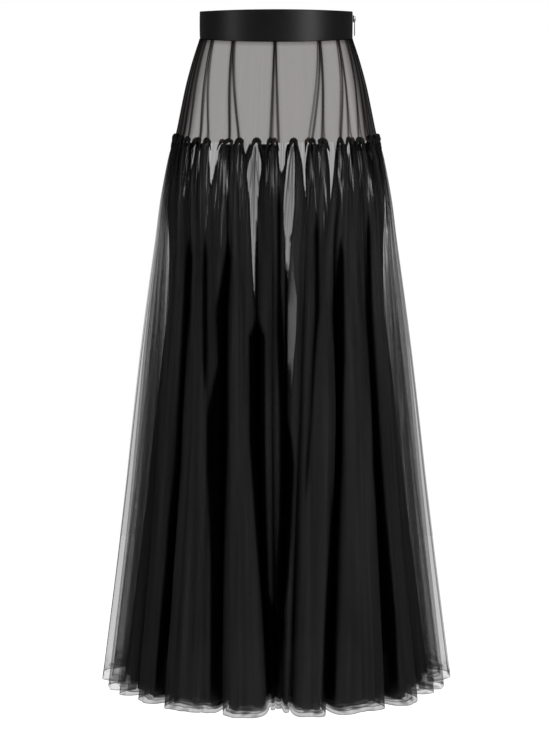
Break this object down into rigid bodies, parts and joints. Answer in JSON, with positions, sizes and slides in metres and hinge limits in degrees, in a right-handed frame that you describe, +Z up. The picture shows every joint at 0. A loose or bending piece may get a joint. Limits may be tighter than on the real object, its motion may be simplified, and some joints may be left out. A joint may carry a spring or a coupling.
{
  "type": "tulle maxi skirt",
  "caption": "Floor-length high-waisted skirt: satin waistband, sheer hip yoke and gathered fluted tulle plies, open at waist and hem, with a side zip.",
  "frame": {"origin": "centre of the waist, at half the depth of the waistband, where the wearer's waist holds the skirt", "axes": "+Z up along the wearer, front of the skirt towards -Y, wearer's left towards +X"},
  "size_m": [0.5776, 0.4969, 1.0953],
  "materials": {
    "satin_band": "satin",
    "sheer_tulle": "sheer matte net",
    "gathered_tulle": "sheer matte net, dense in the gathers",
    "zip_tape": "matte woven tape with a fine coil",
    "zip_metal": "black enamelled metal"
  },
  "bodies": {
    "skirt": {"waistband": "satin_band", "yoke_front": "sheer_tulle", "yoke_back": "sheer_tulle", "outer_skirt_front": "gathered_tulle", "outer_skirt_back": "gathered_tulle", "middle_skirt_front": "gathered_tulle", "middle_skirt_back": "gathered_tulle", "inner_skirt_front": "gathered_tulle", "inner_skirt_back": "gathered_tulle", "zip_chain": "zip_tape", "zip_slider": "zip_metal"},
    "zip_pull": {"zip_pull": "zip_metal"}
  },
  "joints": [
    {"name": "pull_swing", "type": "hinge", "parent": "skirt", "child": "zip_pull", "pos_m": [0.12545, 0, 0.0105], "axis": [0, -1, 0], "range_deg": [0, 165]}
  ]
}
